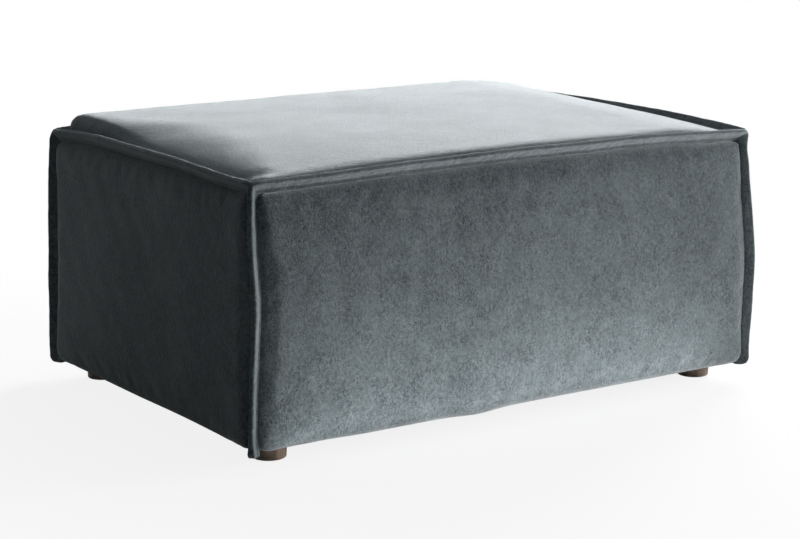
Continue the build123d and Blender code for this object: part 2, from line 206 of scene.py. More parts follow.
ARCH = 0.0085               # rise of the top seams between their corners
ARCH_MORE = 0.0015          # more at the right and behind, less at the left and in front
ARCH_POWER = 4.5            # how evenly they rise
ARCH_NEAR = 0.20            # how far the near corner holds them down
ARCH_RIGHT = 0.12           # how far the right front corner does, and by which share
ARCH_RIGHT_SHARE = 0.4
FLARE_TOP = -0.0037         # how far each side leans out, at the flange tips
FLARE_FOOT = 0.0063         # the same at the foot
CORNER_FADE = 0.17          # how far a corner's bow reaches along the sides
SEAM_RIPPLE = 0.0011        # unevenness of the corners from above, and its length
SEAM_RIPPLE_LENGTH = 0.30
RIPPLE_SHARES = (0.6, 0.95)   # the shares of a side between which it grows
TOP_RIPPLE = 0.0008         # unevenness of the top seams, and its length
TOP_RIPPLE_LENGTH = 0.22
TOP_RIPPLE_HEIGHTS = (0.2, 0.38)
WARP_START = 0.12           # height from which the sides follow the top seams' rise

# Bows of the corner flanges: how far, at which height, and their runs below and above it
RIGHT_FRONT_BOWS = (
    (0.0074, 0.20, 0.115, 0.115),
    (-0.0010, 0.370, 0.015, 0.015),
    (0.0034, 0.400, 0.012, 0.030),
)
RIGHT_BACK_BOWS = ((0.005, 0.19, 0.12, 0.12),)
NEAR_BOWS = ((0.0055, 0.23, 0.10, 0.07),)
NEAR_BACK = 0.0021          # the near corner's shift the other way, at all heights
NEAR_RETURN = 0.0008        # and how much less it is above these heights
NEAR_RETURN_HEIGHTS = (0.33, 0.375)
NEAR_WAY = (0.866, -0.5)    # the near corner's bow as seen from above
LEFT_BACK_BOW = 0.0014
LEFT_BACK_MIDDLE = 0.20     # height of its middle, and half its run
LEFT_BACK_RUN = 0.195


def bows(height, rows):
    """Sum of bell curves over the height, each with its own run on either side of its middle."""
    total = 0
    for size, middle, below, above in rows:
        total = total + size * bell(height - middle, np.where(height < middle, below, above))
    return total


def corner_shift(height):
    """Sideways shift of each corner at these heights: {(x sign, y sign): (dx, dy)}."""
    right_front = bows(height, RIGHT_FRONT_BOWS)
    right_back = bows(height, RIGHT_BACK_BOWS)
    near = bows(height, NEAR_BOWS) - NEAR_BACK + NEAR_RETURN * smooth(*NEAR_RETURN_HEIGHTS, height)
    left_back = LEFT_BACK_BOW * np.clip(1 - ((height - LEFT_BACK_MIDDLE) / LEFT_BACK_RUN) ** 4, 0, 1)
    return {
        (1, -1): (right_front, -right_front),
        (-1, 1): (-left_back, left_back),
        (-1, -1): (NEAR_WAY[0] * near, NEAR_WAY[1] * near),
        (1, 1): (right_back, right_back),
    }


def arch_rise(points):
    """Rise of the top seams between their corners."""
    x, y, _ = points.T
    u = np.clip(np.abs(x) / SEAM_X, 0, 1)
    v = np.clip(np.abs(y) / SEAM_Y, 0, 1)
    arch = ARCH + ARCH_MORE * (x / SEAM_X + y / SEAM_Y)
    rise = arch * (1 - u ** ARCH_POWER * v ** ARCH_POWER)
    right = np.hypot(x - SEAM_X, y + SEAM_Y)
    near = np.hypot(x + SEAM_X, y + SEAM_Y)
    return rise * (1 - ARCH_RIGHT_SHARE * bell(right, ARCH_RIGHT)) * (1 - bell(near, ARCH_NEAR))


def warp(points, rise_weight, side_weight):
    """Move points as the real piece departs from the straight one, with weights for each part."""
    x, y, z = points.T
    moved = points.copy()
    share = (z - FLOOR_GAP) / (FLANGE_TOP - FLOOR_GAP)
    flare = FLARE_FOOT + (FLARE_TOP - FLARE_FOOT) * share
    dx = flare * x / SEAM_X
    dy = flare * y / SEAM_Y
    for (sx, sy), (cx, cy) in corner_shift(z).items():
        near = bell(np.hypot(x - sx * SEAM_X, y - sy * SEAM_Y), CORNER_FADE)
        dx = dx + cx * near
        dy = dy + cy * near
    ripple = SEAM_RIPPLE * waves(points, 3, SEAM_RIPPLE_LENGTH)
    dx = dx + ripple * np.sign(x) * smooth(*RIPPLE_SHARES, np.abs(x) / SEAM_X)
    dy = dy + ripple * np.sign(y) * smooth(*RIPPLE_SHARES, np.abs(y) / SEAM_Y)
    top_ripple = TOP_RIPPLE * waves(points, 5, TOP_RIPPLE_LENGTH) * smooth(*TOP_RIPPLE_HEIGHTS, z)
    moved[:, 0] += dx * side_weight
    moved[:, 1] += dy * side_weight
    moved[:, 2] += (arch_rise(points) + top_ripple) * rise_weight
    return moved


# Forms that the cushions share

CORNER_STEPS = 6            # points of a rounded corner, less one
SHOULDER_STEPS = 8
LEAST_RADIUS = 0.004        # of an outline's corners, where it is drawn in
SWELL = 0.0012              # how far a remeshed form is swollen, to make up for its smoothing


def ring(width, low, high, low_radius, high_radius):
    """Closed outline of a rounded rectangle as (across, up): half width, lower and upper edge."""
    corners = (
        (width, low, low_radius, -90), (width, high, high_radius, 0),
        (-width, high, high_radius, 90), (-width, low, low_radius, 180),
    )
    points = []
    for x, y, radius, start in corners:
        cx = x - math.copysign(radius, x)
        cy = y + radius if y == low else y - radius
        for i in range(CORNER_STEPS + 1):
            turn = math.radians(start + 90 * i / CORNER_STEPS)
            points.append((cx + radius * math.cos(turn), cy + radius * math.sin(turn)))
    return points


def shoulder(depth_reach, width_reach, power):
    """Quarter of a superellipse as (inset, depth), from the wall to the face."""
    made = []
    for i in range(SHOULDER_STEPS + 1):
        turn = math.pi / 2 * i / SHOULDER_STEPS
        inset = width_reach * (1 - math.cos(turn) ** (2 / power))
        made.append((inset, depth_reach * math.sin(turn) ** (2 / power)))
    return made


def skinned(name, rings, voxel, swell):
    """Closed form through rings of points, remeshed evenly, ready for the simulation."""
    piece = tube(name, rings)
    modify(piece, "REMESH", mode="VOXEL", voxel_size=voxel)
    modify(piece, "SMOOTH", factor=0.5, iterations=2)
    set_points(piece.data, points_of(piece.data) + normals_of(piece.data) * swell)
    return piece


def inflate(piece, pin, pressure, cap, growth):
    """Run the cloth with pins as weights per point, and keep how far it moved within a cap."""
    scene = bpy.context.scene
    last_frame = 20
    before = points_of(piece.data)
    group = piece.vertex_groups.new(name="pin")
    for index, weight in enumerate(pin):
        if weight > 0.001:
            group.add([index], float(weight), "REPLACE")
    cloth = piece.modifiers.new("cloth", "CLOTH")
    settings = cloth.settings
    settings.vertex_group_mass = "pin"
    settings.pin_stiffness = 2
    settings.quality = 5
    settings.mass = 0.4
    settings.tension_stiffness = 18
    settings.compression_stiffness = 18
    settings.shear_stiffness = 8
    settings.bending_stiffness = 2
    settings.shrink_min = -growth
    settings.use_pressure = True
    settings.uniform_pressure_force = pressure
    settings.effector_weights.gravity = 0
    cloth.point_cache.frame_start = 1
    cloth.point_cache.frame_end = last_frame
    for number in range(1, last_frame + 1):
        scene.frame_set(number)
    bake(piece)
    piece.vertex_groups.clear()
    scene.frame_set(1)
    move = points_of(piece.data) - before
    far = np.linalg.norm(move, axis=1, keepdims=True)
    limit = cap * np.tanh(far / cap) / np.maximum(far, 1e-9)
    set_points(piece.data, before + move * limit)


# Side cushions

PANEL_GAP = 0.0012          # a side's outline, below the top seam
PANEL_LIFT = 0.0008         # the same, above the underside
PANEL_FACE = 0.0135         # how far a side's face stands out of its seams
PANEL_ROUND = 0.014         # width of the rounding round the face
PANEL_POWER = 3.6           # how square the rounding is
PANEL_OVER = 0.0014         # how far a side reaches past its end seams
PANEL_CROWN = 0.003         # how much further the middle of its face stands out
PANEL_CROWN_POWER = 2.5
PANEL_TUCK = (0.0036, -0.0015)   # where a side turns in to its seams: inset and depth
PANEL_START_GAP = 0.0006    # between its back and the boards, before the remesh
BOARD_GAP = 0.0002          # the same in the end
PANEL_VOXEL = 0.006
PIN_DEPTHS = (0.001, 0.010)   # the pins let go between these depths
PANEL_UNEVEN = ((0.0012, 11, 0.16), (0.0006, 31, 0.06))   # size, seed and length of each wave
UNEVEN_DEPTH = 0.004        # from here outward a side is uneven
FOOT_CORNER = 0.019         # corners of the face
TOP_CORNER = 0.009
END_SWELL = 0.006           # the front's right end, pressed out against its flange
END_RUN = (0.06, 0.004)     # from here to here, inward of its end
SAG_HEIGHTS = (0.03, 0.12)  # between these heights the sag fades out
SAG = 0.0035                # how far a side hangs down
SAG_WAVE = 0.001
SAG_TURNS = 9               # waves along the side, in radians a metre
FRONT_SAG = 0.0064
DROOP = 0.0035              # a droop of the front's edge, its place and its width
DROOP_PLACE = -0.07
DROOP_WIDTH = 0.04
FRONT_LIFT = 0.0016         # the front's edge near its left end, between these places
FRONT_LIFT_PLACES = (0.26, 0.33)
HEM_THICKNESS = 0.0019
HEM_GAP = 0.00005           # between the hem and the rails
HEM_INSET = 0.0004          # its ends, inward of the boards' corner
HEM_RIPPLE = 0.0004         # ripples, and their waves in radians a metre
HEM_TURNS = 70


def side_start(side):
    """A side cushion's form: mitred behind, square shouldered in front."""
    out, seam, half = SIDES[side]
    along = UP.cross(out)
    top, low = SEAM_TOP - PANEL_GAP, PANEL_BOTTOM + PANEL_LIFT
    width = half + PANEL_OVER
    tuck_inset, tuck_depth = PANEL_TUCK
    levels = [(PANEL_BACK + PANEL_OVER, 0.0, PANEL_START_GAP - PANEL_BACK), (tuck_inset, 0.0, tuck_depth)]
    levels += [(inset, inset, depth) for inset, depth in shoulder(PANEL_FACE, PANEL_ROUND, PANEL_POWER)]
    rings = []
    for inset, foot_inset, depth in levels:
        outline = ring(
            width - inset, low + foot_inset, top - inset,
            max(FOOT_CORNER - inset, LEAST_RADIUS), max(TOP_CORNER - inset, LEAST_RADIUS),
        )
        rings.append([out * (seam + depth) + along * a + UP * z for a, z in outline])
    return skinned(f"{side}_cushion", rings, PANEL_VOXEL, SWELL)


def side_cushion(side):
    out, seam, half = SIDES[side]
    axis = np.array(out)
    along = np.array(UP.cross(out))
    piece = side_start(side)
    depth = points_of(piece.data) @ axis - seam
    pin = 1 - smooth(*PIN_DEPTHS, depth)
    inflate(piece, pin, pressure=2.5, cap=0.003, growth=0.010)
    modify(piece, "SUBSURF", levels=1)
    points = points_of(piece.data)
    depth = points @ axis - seam
    place = points @ along
    share = smooth(0, PANEL_BACK, np.clip(depth + PANEL_BACK, 0, 1))
    # the crown, fullest in the middle of the face
    middle = (PANEL_BOTTOM + SEAM_TOP) / 2
    up_share = np.clip(np.abs(points[:, 2] - middle) / (SEAM_TOP - middle), 0, 1)
    along_share = np.clip(np.abs(place) / half, 0, 1)
    crown = (1 - along_share ** PANEL_CROWN_POWER) * (1 - up_share ** PANEL_CROWN_POWER)
    points += np.outer(PANEL_CROWN * crown * smooth(0, PANEL_FACE, depth), axis)
    if side == "front":
        # the filling presses the right end out against its flange
        end = smooth(half - END_RUN[0], half - END_RUN[1], place) * smooth(PIN_DEPTHS[0], PANEL_FACE, depth)
        points += np.outer(END_SWELL * end, along)
    # the cloth hangs a little below the frame between the corners
    low = 1 - smooth(*SAG_HEIGHTS, points[:, 2])
    points[:, 2] += bottom_sag(side, place) * low * share
    # soft unevenness of the filling behind the cloth
    uneven = unevenness(points, PANEL_UNEVEN, len(side))
    points += np.outer(uneven * smooth(UNEVEN_DEPTH, PANEL_FACE, depth), axis)
    points = warp(points, smooth(WARP_START, SEAM_TOP, points[:, 2]), share)
    # nothing goes back through the boards
    behind = np.maximum(BOARD_GAP - PANEL_BACK - (points @ axis - seam), 0)
    points += np.outer(behind, axis)
    set_points(piece.data, points)
    join(piece, [hem(side)])
    return piece


def bottom_sag(side, place):
    """How far a side's lower edge stands above or below the straight one, along the side."""
    if side != "front":
        return SAG_WAVE * np.sin(place * SAG_TURNS) - SAG
    droop = DROOP * bell(place - DROOP_PLACE, DROOP_WIDTH)
    return FRONT_LIFT * smooth(*FRONT_LIFT_PLACES, -place) - FRONT_SAG - droop


def hem(side):
    """The cover's edge, turned in under the frame, with faint ripples on its underside."""
    out, seam, half = SIDES[side]
    along = UP.cross(out)
    width = BOARD + POST
    outer_half = half - PANEL_BACK - HEM_INSET
    columns, rows = 90, 8

    def spot(layer, j, i):
        inward = width * j / rows
        place = (outer_half - inward) * (2 * i / columns - 1)
        ripple = HEM_RIPPLE * math.sin(place * HEM_TURNS) * j / rows * (1 - layer)
        z = PANEL_BOTTOM + HEM_GAP + ripple + HEM_THICKNESS * layer
        return out * (seam - PANEL_BACK - inward) + along * place + UP * z

    return slab("hem", columns, rows, spot)


# Seat

SEAT_FLAT = 0.430           # the seat's height before its crown is shaped
SEAT_ROUND = 0.017          # width of the rounding along its edges
SEAT_POWER = 2.9
SEAT_CORNER = 0.016
SEAT_INSET = 0.0015         # its outline, inward of the seam lines
SEAT_TUCK = 0.006           # how far it turns in at its foot
SEAT_VOXEL = 0.0075
SEAT_LIFT = 0.0008          # its underside before the remesh, above its base
SEAT_GAP = 0.0001           # the same in the end
SEAT_FOOT = 0.001           # where it is widest, above the seam line
SEAT_PINS = (0.006, 0.022)  # above the seam line the pins let go between these heights
SEAT_SHAPED = (-0.001, 0.006)   # and between these its crown sets in
SEAT_UNEVEN = ((0.0010, 21, 0.20), (0.0004, 22, 0.07))   # size, seed and length of each wave
SEAT_UNEVEN_HEIGHTS = (0.01, 0.03)
FOOT_SHARE = 0.2            # how much of the seams' rise its foot follows
FOOT_RUN = 0.004            # above its base it follows from here on
FOOT_FADE = 0.012           # and from here above the seam line ever less
CROWN_TOP = 0.4288          # the seat's height where it is fullest, before its falls
TILT = 0.0085               # it rises to the right by this share
TILT_PLACE = 0.19           # and reaches its height here
RIGHT_FALL = 0.0145         # the slope down to its right end, and its width
RIGHT_RUN = 0.12
RIGHT_POWER = 1.5
FRONT_FALL = 0.0190         # the slope down to the front
FRONT_FALL_RIGHT = 0.003    # how much more it falls towards the right
FRONT_FALL_LEFT = 0.0035    # and near its left end
FRONT_START = 0.26          # where the slope starts, and how far it runs
FRONT_RUN = 0.545
FRONT_POWER = 1.4
FRONT_RIGHT_PLACES = (0.0, 0.30)
FRONT_LEFT_PLACES = (0.20, 0.38)
# the slope down to the left end: places from front to back, with its width and its fall
LEFT_PLACES = (-0.30, -0.23, -0.12, 0.0, 0.09, 0.13, 0.20, 0.29)
LEFT_RUNS = (0.025, 0.070, 0.118, 0.145, 0.145, 0.095, 0.050, 0.036)
LEFT_FALLS = (0.010, 0.017, 0.022, 0.023, 0.020, 0.011, 0.005, 0.003)
HOLLOW = 0.003              # a small hollow by the near corner, where the seams meet
HOLLOW_PLACE = (-0.405, -0.262)
HOLLOW_WIDTH = 0.022


def seat_top(x, y):
    """Height of the seat's surface: fullest behind the middle, falling to its ends and the front."""
    height = CROWN_TOP + TILT * (x - TILT_PLACE)
    right = SEAM_X - x
    height = height - RIGHT_FALL * np.clip(1 - right / RIGHT_RUN, 0, 1) ** RIGHT_POWER
    left = SEAM_X + x
    left_run = eased(y, LEFT_PLACES, LEFT_RUNS)
    left_fall = eased(y, LEFT_PLACES, LEFT_FALLS)
    height = height - left_fall * np.clip(1 - left / left_run, 0, 1) ** 2
    front_fall = FRONT_FALL + FRONT_FALL_RIGHT * smooth(*FRONT_RIGHT_PLACES, x)
    front_fall = front_fall + FRONT_FALL_LEFT * smooth(*FRONT_LEFT_PLACES, -x)
    height = height - front_fall * np.clip((FRONT_START - y) / FRONT_RUN, 0, 1) ** FRONT_POWER
    hollow = bell(x - HOLLOW_PLACE[0], HOLLOW_WIDTH) * bell(y - HOLLOW_PLACE[1], HOLLOW_WIDTH)
    return height - HOLLOW * hollow


def seat_cushion():
    width, depth = SEAM_X - SEAT_INSET, SEAM_Y - SEAT_INSET
    foot = SEAM_TOP + SEAT_FOOT
    rise = SEAT_FLAT - foot
    levels = [(SEAT_TUCK, SEAT_BASE + SEAT_LIFT), (0.0, foot)]
    levels += [(inset, foot + height) for inset, height in shoulder(rise, SEAT_ROUND, SEAT_POWER)]
    rings = []
    for inset, height in levels:
        radius = max(SEAT_CORNER - inset, LEAST_RADIUS)
        outline = ring(width - inset, -depth + inset, depth - inset, radius, radius)
        rings.append([Vector((x, y, height)) for x, y in outline])
    piece = skinned("seat_cushion", rings, SEAT_VOXEL, SWELL)
    start = points_of(piece.data)[:, 2] - SEAM_TOP
    pin = 1 - smooth(*SEAT_PINS, start)
    inflate(piece, pin, pressure=1.0, cap=0.0014, growth=0.003)
    modify(piece, "SUBSURF", levels=1)
    points = points_of(piece.data)
    x, y, height = points.T
    wanted = (seat_top(x, y) - SEAM_TOP) / (SEAT_FLAT - SEAM_TOP)
    share = smooth(*SEAT_SHAPED, height - SEAM_TOP)
    raised = SEAM_TOP + (height - SEAM_TOP) * wanted
    points[:, 2] = height + (raised - height) * share
    # soft unevenness of the filling under the cloth
    up_share = smooth(*SEAT_UNEVEN_HEIGHTS, points[:, 2] - SEAM_TOP)
    points[:, 2] += unevenness(points, SEAT_UNEVEN) * up_share
    # only the seat's foot follows the rise of the seams
    foot_share = FOOT_SHARE * smooth(SEAT_BASE, SEAT_BASE + FOOT_RUN, height)
    rise_share = foot_share * (1 - smooth(SEAM_TOP + FOOT_FADE, SEAT_FLAT, height))
    points = warp(points, rise_share, 1)
    points[:, 2] = np.maximum(points[:, 2], SEAT_BASE + SEAT_GAP)
    set_points(piece.data, points)
    return piece


# Flanges

TOP_ROOT = -0.0080          # how deep a top flange's root lies behind the seam line
CORNER_ROOT = -0.0170       # the same for the corner flanges
FLANGE_STEP = 0.004         # length of one row along a flange
FLANGE_VOXEL = 0.0017
FLANGE_SMOOTHING = 5
LEAN_RUN = 0.045            # from here a flange leans over to meet the next one
END_DROP = 0.0045           # how much lower its tip is at the very end, and over which run
END_DROP_RUN = 0.014
NEAR_TURN = -0.02           # the near flange leans to the left side
SNIP_HEIGHT = 0.011         # slanted cut at the foot of a corner flange
SNIP_DEPTH = 0.007
TAB_LOW = 0.019             # lowest point of the flanges' feet
TAB_SPREAD = 0.45           # how much the two layers part there, and over which run
TAB_SPREAD_RUN = 0.035
TAB_RISE = 0.0065           # how much higher the lower edge is at the root, and over which run
TAB_RISE_RUN = 0.05
GATHERS = ((0.0002, 41, 0.012), (0.0005, 42, 0.05))   # size, seed and length of each wave


def flange_section(root):
    """Half section of a flange: (outward, half thickness), from its root past the bead to the tip."""
    return [
        (root, 0.0024), (-0.0020, 0.0029), (0.0006, 0.0036), (0.0026, 0.0049), (0.0044, 0.0054),
        (0.0060, 0.0049), (0.0074, 0.0036), (0.0084, 0.0031), (0.0096, 0.0032), (0.0122, 0.0035),
        (0.0150, 0.0036), (0.0200, 0.0037), (0.0226, 0.0038), (0.0236, 0.0035), (0.0241, 0.0025),
        (0.0242, 0.0),
    ]


def flange_strip(name, middle, out, along, low, high, root, foot=False, turn=0.0):
    """A swept flange from low to high along its seam, leaning where it meets its neighbours.

    foot says that the lower end is a free tab: its outer corner is snipped off, and its edge
    rises to the root. turn is how far the free edge leans sideways, as a share of its reach.
    """
    side = along.cross(out)
    section = flange_section(root)
    outline = section + [(s, -t) for s, t in reversed(section[:-1])]
    rows = max(2, round((high - low) / FLANGE_STEP))
    uncut = FLANGE_REACH - SNIP_DEPTH
    rings = []
    for i in range(rows + 1):
        c = low + (high - low) * i / rows
        # the distance to a mitred end, and the lean that grows towards it
        end = LEAN_RUN
        lean = 0.0
        if not foot and c - low < LEAN_RUN:
            end = c - low
            lean = end / LEAN_RUN - 1
        if high - c < LEAN_RUN:
            end = high - c
            lean = 1 - end / LEAN_RUN
        drop = END_DROP * max(0.0, 1 - end / END_DROP_RUN) ** 2
        parted = 1.0
        if foot:
            parted += TAB_SPREAD * max(0.0, 1 - (c - low) / TAB_SPREAD_RUN) ** 1.5
        ring_points = []
        for s, t in outline:
            reach = s * (1 - drop / FLANGE_REACH) if s > 0 else s
            a = c + lean * reach / DIAGONAL
            if foot:
                cut = max(0.0, (reach - uncut) * SNIP_HEIGHT / SNIP_DEPTH)
                tab = TAB_RISE * min(1.0, max(0.0, (uncut - reach) / (uncut - CORNER_ROOT)))
                a += (cut + tab) * max(0.0, 1 - (c - low) / TAB_RISE_RUN)
            sideways = t * parted + turn * reach * min(1.0, end / LEAN_RUN)
            ring_points.append(middle + along * a + out * reach + side * sideways)
        rings.append(ring_points)
    return tube(name, rings)


def sewn_flanges():
    """All eight flanges as one continuous sewn edge, blended where they meet."""
    strips = []
    for side, (out, seam, half) in SIDES.items():
        along = out.cross(UP)
        middle = out * seam + UP * SEAM_TOP
        slant = (out + UP).normalized()
        strips.append(flange_strip(f"strip_{side}", middle, slant, along, -half, half, TOP_ROOT))
    for sx in (-1, 1):
        for sy in (-1, 1):
            foot = Vector((sx * SEAM_X, sy * SEAM_Y, 0))
            slant = Vector((sx, sy, 0)).normalized()
            turn = NEAR_TURN if sx == sy == -1 else 0.0
            name = f"strip_{sx}_{sy}"
            strips.append(flange_strip(name, foot, slant, UP, TAB_LOW, SEAM_TOP, CORNER_ROOT, True, turn))
    piece = strips[0]
    join(piece, strips[1:])
    piece.name = "sewn_flanges"
    modify(piece, "REMESH", mode="VOXEL", voxel_size=FLANGE_VOXEL)
    modify(piece, "SMOOTH", factor=0.5, iterations=FLANGE_SMOOTHING)
    points = points_of(piece.data)
    normals = normals_of(piece.data)
    # small gathers of the cloth along the stitching
    points += normals * unevenness(points, GATHERS)[:, None]
    points = warp(points, smooth(WARP_START, SEAM_TOP, points[:, 2]), 1)
    set_points(piece.data, points)
    return piece


# Materials

def material(name):
    made = bpy.data.materials.new(name)
    made.use_nodes = True
    return made, made.node_tree, made.node_tree.nodes["Principled BSDF"]


def node(tree, kind, **values):
    """Add a node. Keys are its properties, or its inputs where it has one of that name."""
    made = tree.nodes.new(kind)
    for key, value in values.items():
        if key in made.inputs:
            made.inputs[key].default_value = value
        else:
            setattr(made, key, value)
    return made


def object_points(tree, scale=(1, 1, 1)):
    coords = node(tree, "ShaderNodeTexCoord")
    mapping = node(tree, "ShaderNodeMapping")
    mapping.inputs["Scale"].default_value = scale
    tree.links.new(coords.outputs["Object"], mapping.inputs["Vector"])
    return mapping.outputs["Vector"]


def noise_of(tree, vector, scale, detail=2.0, rough=0.5):
    made = node(tree, "ShaderNodeTexNoise")
    made.inputs["Scale"].default_value = scale
    made.inputs["Detail"].default_value = detail
    made.inputs["Roughness"].default_value = rough
    tree.links.new(vector, made.inputs["Vector"])
    return made.outputs["Fac"]


def scaled(tree, value, factor, plus=0.0):
    made = node(tree, "ShaderNodeMath", operation="MULTIPLY_ADD")
    tree.links.new(value, made.inputs[0])
    made.inputs[1].default_value = factor
    made.inputs[2].default_value = plus
    return made.outputs[0]


def added(tree, one, two):
    made = node(tree, "ShaderNodeMath", operation="ADD")
    tree.links.new(one, made.inputs[0])
    tree.links.new(two, made.inputs[1])
    return made.outputs[0]


def ramp(tree, value, stops):
    """Colour ramp of (place, colour) stops."""
    made = node(tree, "ShaderNodeValToRGB")
    elements = made.color_ramp.elements
    while len(elements) < len(stops):
        elements.new(0.5)
    for element, (place, colour) in zip(elements, stops):
        element.position = place
        element.color = (*colour, 1)
    tree.links.new(value, made.inputs["Fac"])
    return made.outputs["Color"]


def bump(tree, height, distance, strength=1.0):
    made = node(tree, "ShaderNodeBump")
    made.inputs["Strength"].default_value = strength
    made.inputs["Distance"].default_value = distance
    tree.links.new(height, made.inputs["Height"])
    return made.outputs["Normal"]


SHEEN_TINT = (0.86, 0.9, 0.925, 1)
PILE_DEPTH = 0.0018


def velvet(name, dark, light):
    """Short-pile velvet: brushed patches, short upright flecks and the grain of the pile."""
    made, tree, shader = material(name)
    upright = object_points(tree, (1, 1, 0.75))
    plain = object_points(tree)
    patches = noise_of(tree, plain, 7, 3, 0.55)
    clouds = noise_of(tree, upright, 45, 3, 0.6)
    flecks = noise_of(tree, upright, 230, 3, 0.65)
    grain = noise_of(tree, plain, 750, 2, 0.7)
    total = added(tree, scaled(tree, patches, 0.5, -0.25), scaled(tree, clouds, 0.5, -0.25))
    total = added(tree, total, scaled(tree, flecks, 1.0, -0.5))
    total = added(tree, total, scaled(tree, grain, 2.0, -0.5))
    middle = tuple((a + b) / 2 for a, b in zip(dark, light))
    colour = ramp(tree, total, [(0.0, dark), (0.5, middle), (1.0, light)])
    tree.links.new(colour, shader.inputs["Base Color"])
    tree.links.new(scaled(tree, clouds, 0.25, 0.72), shader.inputs["Roughness"])
    pile = added(tree, scaled(tree, grain, 0.4), scaled(tree, flecks, 0.6))
    tree.links.new(bump(tree, pile, PILE_DEPTH), shader.inputs["Normal"])
    shader.inputs["Sheen Weight"].default_value = 1.0
    shader.inputs["Sheen Roughness"].default_value = 0.4
    shader.inputs["Sheen Tint"].default_value = SHEEN_TINT
    shader.inputs["Specular IOR Level"].default_value = 0.05
    return made


def wood(name, dark, light, along, ring_scale, roughness):
    """Straight-grained wood, the grain running along one axis."""
    made, tree, shader = material(name)
    stretch = [ring_scale] * 3
    stretch["XYZ".index(along)] = ring_scale * 0.06
    vector = object_points(tree, stretch)
    rings = noise_of(tree, vector, 1.0, 4, 0.6)
    pores = noise_of(tree, vector, 9.0, 2, 0.6)
    total = added(tree, scaled(tree, rings, 0.8, 0.1), scaled(tree, pores, 0.25, -0.125))
    colour = ramp(tree, total, [(0.25, dark), (0.75, light)])
    tree.links.new(colour, shader.inputs["Base Color"])
    tree.links.new(scaled(tree, pores, 0.2, roughness - 0.1), shader.inputs["Roughness"])
    tree.links.new(bump(tree, pores, 0.0003), shader.inputs["Normal"])
    shader.inputs["Specular IOR Level"].default_value = 0.4
    return made


def fibre(name, dark, light, scale, distance, sheen=0.0):
    """Felt, non-woven lining, foam or hardboard: fine speckle and fibres."""
    made, tree, shader = material(name)
    vector = object_points(tree)
    coarse = noise_of(tree, vector, scale, 4, 0.65)
    patches = noise_of(tree, vector, scale / 25, 2, 0.5)
    total = added(tree, scaled(tree, coarse, 0.9, 0.05), scaled(tree, patches, 0.3, -0.15))
    colour = ramp(tree, total, [(0.25, dark), (0.75, light)])
    tree.links.new(colour, shader.inputs["Base Color"])
    tree.links.new(scaled(tree, coarse, 0.15, 0.8), shader.inputs["Roughness"])
    tree.links.new(bump(tree, coarse, distance), shader.inputs["Normal"])
    shader.inputs["Sheen Weight"].default_value = sheen
    shader.inputs["Specular IOR Level"].default_value = 0.25
    return made


def metal(name, dark, light, roughness, scale):
    """Drawn or plated steel with faint streaks and tarnish."""
    made, tree, shader = material(name)
    vector = object_points(tree)
    coarse = noise_of(tree, vector, scale, 4, 0.6)
    colour = ramp(tree, coarse, [(0.3, dark), (0.7, light)])
    tree.links.new(colour, shader.inputs["Base Color"])
    tree.links.new(scaled(tree, coarse, 0.25, roughness - 0.12), shader.inputs["Roughness"])
    tree.links.new(bump(tree, coarse, 0.0001), shader.inputs["Normal"])
    shader.inputs["Metallic"].default_value = 1.0
    return made


def paint(piece, made):
    """Give the whole piece one material, in its own slots."""
    if piece.data.materials:
        for index in range(len(piece.data.materials)):
            piece.data.materials[index] = made
    else:
        piece.data.materials.append(made)


# Soft pieces

velvet_cloth = velvet("velvet_slate", (0.0115, 0.018, 0.0215), (0.206, 0.243, 0.252))
foam_finish = fibre("foam_cream", (0.60, 0.54, 0.36), (0.80, 0.74, 0.55), 900, 0.0006)
felt_finish = fibre("felt_grey", (0.24, 0.23, 0.21), (0.42, 0.40, 0.37), 500, 0.0008)
lining_finish = fibre("lining_black", (0.012, 0.012, 0.013), (0.035, 0.035, 0.036), 700, 0.0004)
glide_finish = fibre("glide_felt_brown", (0.05, 0.042, 0.036), (0.12, 0.10, 0.09), 700, 0.0005)

for side in SIDES:
    cushion = side_cushion(side)
    shade_smooth(cushion)
    paint(cushion, velvet_cloth)
    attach(cushion, "root")
    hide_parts(f"{side}_cover", f"side_pad_{side}")

seat = seat_cushion()
shade_smooth(seat)
paint(seat, velvet_cloth)
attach(seat, "root")
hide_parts("top_cover", "foam_topper")

flanges = sewn_flanges()
shade_smooth(flanges)
paint(flanges, velvet_cloth)
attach(flanges, "root")
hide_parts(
    *[f"top_flange_{side}" for side in SIDES],
    *[f"corner_flange_{y}_{x}" for y in ("front", "back") for x in ("left", "right")],
)


# Foam, felt and lining inside and underneath

FOAM_EDGE = 0.007           # rounding of the foam's edges, up and inward
FOAM_EDGE_IN = 0.008
FOAM_INSET = 0.0015
FOAM_CORNER = 0.02
FOAM_LIFT = 0.0006          # its faces before the remesh, inward of its box
FOAM_GAP = [0.0005, 0.0005, 0.0002]   # the same in the end, along each axis
FOAM_UNEVEN = ((0.0012, 51, 0.25),)   # size, seed and length of the wave in its sides
FOAM_UNEVEN_HEIGHTS = (0.004, 0.012)
FOAM_UNEVEN_X = (0.39, 0.42)
FOAM_UNEVEN_Y = (0.25, 0.285)
FOAM_VOXEL = 0.010
FELT_THICKNESS = 0.0028
LINING_THICKNESS = 0.001
LINING_SAG = 0.0022
LINING_HEM = 0.014          # width of its turned-in edge
GLIDE_STEPS = 40


def level_ring(node_name, inset, height, radius):
    """Rounded outline of a node's plan, drawn in by inset, at one height."""
    low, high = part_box(node_name)
    outline = ring(high[0] - inset, low[1] + inset, high[1] - inset, radius, radius)
    return [Vector((x, y, height)) for x, y in outline]


